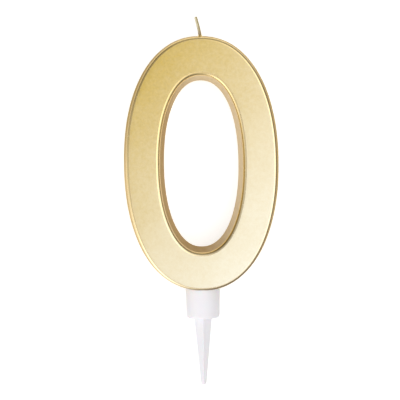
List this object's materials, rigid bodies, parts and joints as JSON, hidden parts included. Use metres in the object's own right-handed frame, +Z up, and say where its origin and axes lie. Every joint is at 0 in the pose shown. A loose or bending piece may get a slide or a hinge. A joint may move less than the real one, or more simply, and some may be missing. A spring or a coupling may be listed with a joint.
{
  "type": "number candle",
  "caption": "Tall open-oval nought candle in gilt wax with a short wick, standing in a white moulded cup whose spike pushes into a cake.",
  "frame": {"origin": "on the axis of the pick, in the plane of the cup's flat underside, where it meets the icing of a cake", "axes": "+Z up along the pick's axis to the wick, -Y out of the front face of the nought, +X to the right as the nought is read from the front"},
  "size_m": [0.058, 0.014, 0.1362],
  "materials": {
    "gilt_wax": "satin",
    "wick_cotton": "matte",
    "white_polystyrene": "satin"
  },
  "bodies": {
    "pick": {"cake_pick": "white_polystyrene"},
    "candle": {"wax_numeral": "gilt_wax", "wick": "wick_cotton"}
  },
  "joints": [
    {"name": "candle_lift", "type": "slide", "parent": "pick", "child": "candle", "axis": [0, 0, 1], "range_m": [0, 0.012]}
  ]
}
